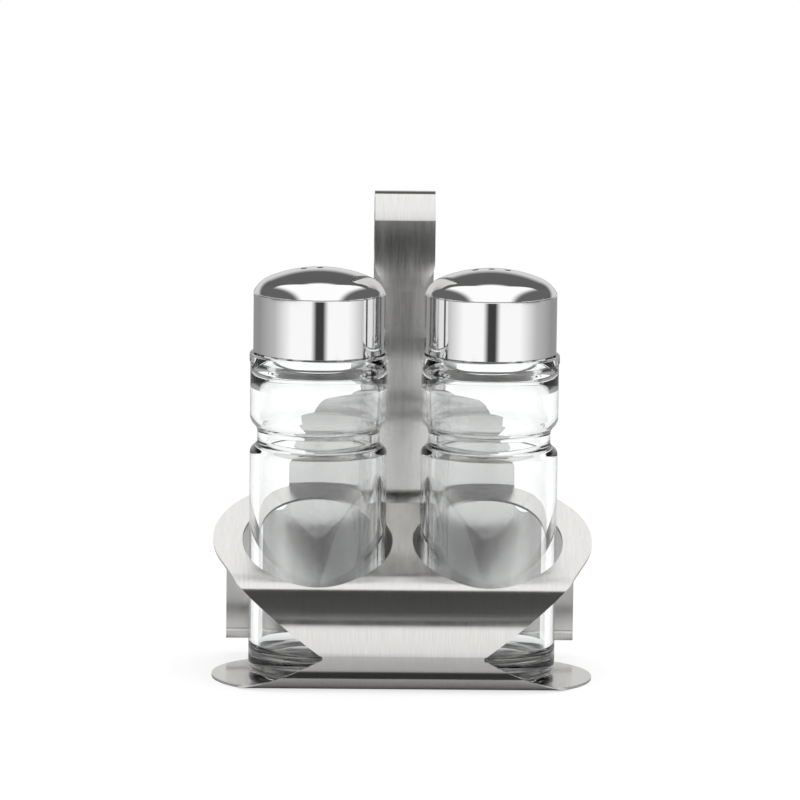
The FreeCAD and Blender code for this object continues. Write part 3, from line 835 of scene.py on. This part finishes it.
def studio_world():
    """White where it is seen straight on or through glass, a soft fill, and the studio for metal."""
    world = bpy.data.worlds.new("studio")
    bpy.context.scene.world = world
    world.use_nodes = True
    tree = world.node_tree
    tree.nodes.clear()
    place = add_node(tree, "ShaderNodeTexCoord")
    split = add_node(tree, "ShaderNodeSeparateXYZ", {0: place.outputs["Generated"]})
    front = add_node(tree, "ShaderNodeMath", {0: split.outputs["Y"]}, operation="MULTIPLY", in_1=-1.0)
    around = add_node(tree, "ShaderNodeMath", {0: split.outputs["X"], 1: front.outputs[0]},
                      operation="ARCTAN2")
    over = add_node(tree, "ShaderNodeMath", {0: split.outputs["Z"], 1: front.outputs[0]},
                    operation="ARCTAN2")
    low = levels(tree, around.outputs[0], AROUND)
    high = levels(tree, over.outputs[0], OVER)
    share = add_node(tree, "ShaderNodeMapRange", {"Value": split.outputs["Z"]},
                     interpolation_type="SMOOTHSTEP", in_From_Min=-0.12, in_From_Max=-0.09)
    aside = add_node(tree, "ShaderNodeMath", {0: split.outputs["X"]}, operation="ABSOLUTE")
    beside = add_node(tree, "ShaderNodeMapRange", {"Value": aside.outputs[0]},
                      interpolation_type="SMOOTHSTEP", in_From_Min=0.42, in_From_Max=0.62)
    lofty = add_node(tree, "ShaderNodeMapRange", {"Value": split.outputs["Z"]},
                     interpolation_type="SMOOTHSTEP", in_From_Min=0.25, in_From_Max=0.45)
    corner = add_node(tree, "ShaderNodeMath", {0: beside.outputs[0], 1: lofty.outputs[0]},
                      operation="MULTIPLY")
    above = add_node(tree, "ShaderNodeMix", data_type="RGBA")
    tree.links.new(corner.outputs[0], above.inputs[0])
    tree.links.new(high.outputs["Color"], above.inputs[6])
    above.inputs[7].default_value = grey(CORNER)
    seen = add_node(tree, "ShaderNodeMix", data_type="RGBA")
    tree.links.new(share.outputs["Result"], seen.inputs[0])
    tree.links.new(low.outputs["Color"], seen.inputs[6])
    tree.links.new(above.outputs[2], seen.inputs[7])
    path = add_node(tree, "ShaderNodeLightPath")
    fill = add_node(tree, "ShaderNodeBackground", in_Color=grey(255), in_Strength=0.55)
    lifted = add_node(tree, "ShaderNodeMath", {0: path.outputs["Is Transmission Ray"]},
                      operation="MULTIPLY_ADD", in_1=GLASS_LIFT, in_2=1.0)
    white = add_node(tree, "ShaderNodeBackground", {"Strength": lifted.outputs[0]}, in_Color=grey(255))
    # a ray that has met metal sees the studio, and weaker when it then passes glass
    mirrored = add_node(tree, "ShaderNodeMath", {0: path.outputs["Glossy Depth"]},
                        operation="GREATER_THAN", in_1=0.5)
    dimmed = add_node(tree, "ShaderNodeMath", {0: path.outputs["Is Transmission Ray"]},
                      operation="MULTIPLY_ADD", in_1=-0.6, in_2=1.3)
    metal = add_node(tree, "ShaderNodeBackground", {"Color": seen.outputs[2], "Strength": dimmed.outputs[0]})
    plain = add_node(tree, "ShaderNodeMixShader",
                     {0: mirrored.outputs[0], 1: fill.outputs[0], 2: metal.outputs[0]})
    through = add_node(tree, "ShaderNodeMath",
                       {0: path.outputs["Is Transmission Ray"], 1: mirrored.outputs[0]},
                       operation="GREATER_THAN")
    direct = add_node(tree, "ShaderNodeMath", {0: path.outputs["Is Camera Ray"], 1: through.outputs[0]},
                      operation="MAXIMUM")
    both = add_node(tree, "ShaderNodeMixShader",
                    {0: direct.outputs[0], 1: plain.outputs[0], 2: white.outputs[0]})
    add_node(tree, "ShaderNodeOutputWorld", {"Surface": both.outputs[0]})


def soft_box(name, place, size, energy):
    """A square lamp that points at the middle of the set and doesn't show in polished metal."""
    lamp = bpy.data.lights.new(name, "AREA")
    lamp.size = size
    lamp.energy = energy
    holder = bpy.data.objects.new(name, lamp)
    bpy.context.collection.objects.link(holder)
    holder.location = place
    holder.rotation_euler = (Vector((0, 0, 0.06)) - Vector(place)).to_track_quat("-Z", "Y").to_euler()
    holder.visible_glossy = False
    holder.visible_transmission = False


class SHAKERS_OT_studio(Operator):
    """Lays the floor and sets the lamps, the surroundings and the camera"""
    bl_idname = "shakers.studio"
    bl_label = "Studio"

    def card(self, name, material):
        """Makes the new object a card that only reflections can see, which paints a reflection into the
        steel.
        """
        card = bpy.context.object
        bpy.ops.object.transform_apply(location=True, rotation=True, scale=True)
        card.name = name
        card.data.materials.append(material)
        card.visible_camera = card.visible_diffuse = card.visible_transmission = card.visible_shadow = False

    def execute(self, context):
        deselect()
        bpy.ops.mesh.primitive_plane_add(size=6.0, location=(0, 0, -0.00002))
        floor = context.object
        bpy.ops.object.mode_set(mode="EDIT")
        bpy.ops.mesh.subdivide(number_cuts=4)
        bpy.ops.object.mode_set(mode="OBJECT")
        floor.name = "floor"
        floor.data.materials.append(white_floor("matt_white_board"))
        studio_world()
        # each card paints a reflection that only the steel sees: its height, how far its front and back edges
        # stand before the middle, half its width, where it turns opaque, and its grey
        # painted reflection: a dark band across the front wall below its brow
        cards = (("painted_reflection_wall_card", 70.0, 180.0, 31.0, 75.0, 95.0, 110),
                 # painted shadow: the contact shadow in front of the foot, as the foot bend mirrors it
                 ("painted_shadow_foot_card", 0.4, 46.0, 31.0, 60.0, 37.0, 45))
        for name, z, front, back, half, near, dark in cards:
            deselect()
            bpy.ops.mesh.primitive_plane_add(size=1.0, location=(0, -(front + back) / 2 * MM, z * MM))
            context.object.scale = (2 * half * MM, (front - back) * MM, 1)
            self.card(name, painted_reflection_card(name, dark, near, front))
        # a dark ring round the set, opaque on its front half, that only reflections see: a painted dark
        # reflection on the curl's tongue
        band_radius = 200.0
        band_low = 90.0
        band_high = 108.0
        deselect()
        bpy.ops.mesh.primitive_cylinder_add(vertices=64, radius=band_radius * MM, end_fill_type="NOTHING",
                                            depth=(band_high - band_low) * MM,
                                            location=(0, 0, (band_low + band_high) / 2 * MM))
        self.card("painted_reflection_band", painted_reflection_card("painted_reflection_band", 30, 20.0, -20.0))
        soft_box("soft_box_top", (0.1, 0.15, 1.1), 0.9, 7.0)
        soft_box("soft_box_left", (-0.9, -0.7, 0.8), 0.8, 5.0)
        soft_box("soft_box_right", (0.95, -0.6, 0.7), 0.8, 5.0)
        camera = bpy.data.cameras.new("photo_camera")
        camera.sensor_width = 36.0
        camera.lens = 245.5
        camera.clip_end = 20.0
        holder = bpy.data.objects.new("photo_camera", camera)
        context.collection.objects.link(holder)
        # 1.6 m off, 1 degree to the left of the middle and 9 degrees above, with a slight roll
        eye = Vector((-33.0, -1575.9, 335.1)) * MM
        aim = Vector((-1.26, 0.0, 81.5)) * MM
        roll = Matrix.Rotation(math.radians(0.68), 4, "Z")
        facing = (aim - eye).to_track_quat("-Z", "Y").to_matrix().to_4x4()
        holder.matrix_world = Matrix.Translation(eye) @ facing @ roll
        context.scene.camera = holder
        context.scene.view_settings.view_transform = "Standard"
        return {"FINISHED"}


class SHAKERS_PT_panel(Panel):
    bl_label = "Table shaker set"
    bl_idname = "SHAKERS_PT_panel"
    bl_space_type = "VIEW_3D"
    bl_region_type = "UI"
    bl_category = "Shakers"

    def draw(self, context):
        for operator in OPERATORS:
            self.layout.operator(operator.bl_idname)
        for group in (context.scene.shaker_stand, context.scene.shaker_pair):
            box = self.layout.box()
            for name in group.bl_rna.properties.keys():
                if name not in ("rna_type", "name"):
                    box.prop(group, name)


OPERATORS = (SHAKERS_OT_stand, SHAKERS_OT_jars, SHAKERS_OT_caps, SHAKERS_OT_studio)
CLASSES = (StandSizes, ShakerSizes) + OPERATORS + (SHAKERS_PT_panel,)


def register():
    for cls in CLASSES:
        bpy.utils.register_class(cls)
    bpy.types.Scene.shaker_stand = PointerProperty(type=StandSizes)
    bpy.types.Scene.shaker_pair = PointerProperty(type=ShakerSizes)


def unregister():
    del bpy.types.Scene.shaker_pair
    del bpy.types.Scene.shaker_stand
    for cls in reversed(CLASSES):
        bpy.utils.unregister_class(cls)


def main():
    register()
    bpy.ops.shakers.stand()
    bpy.ops.shakers.jars()
    bpy.ops.shakers.caps()
    bpy.ops.shakers.studio()
    deselect()


if __name__ == "__main__":
    main()
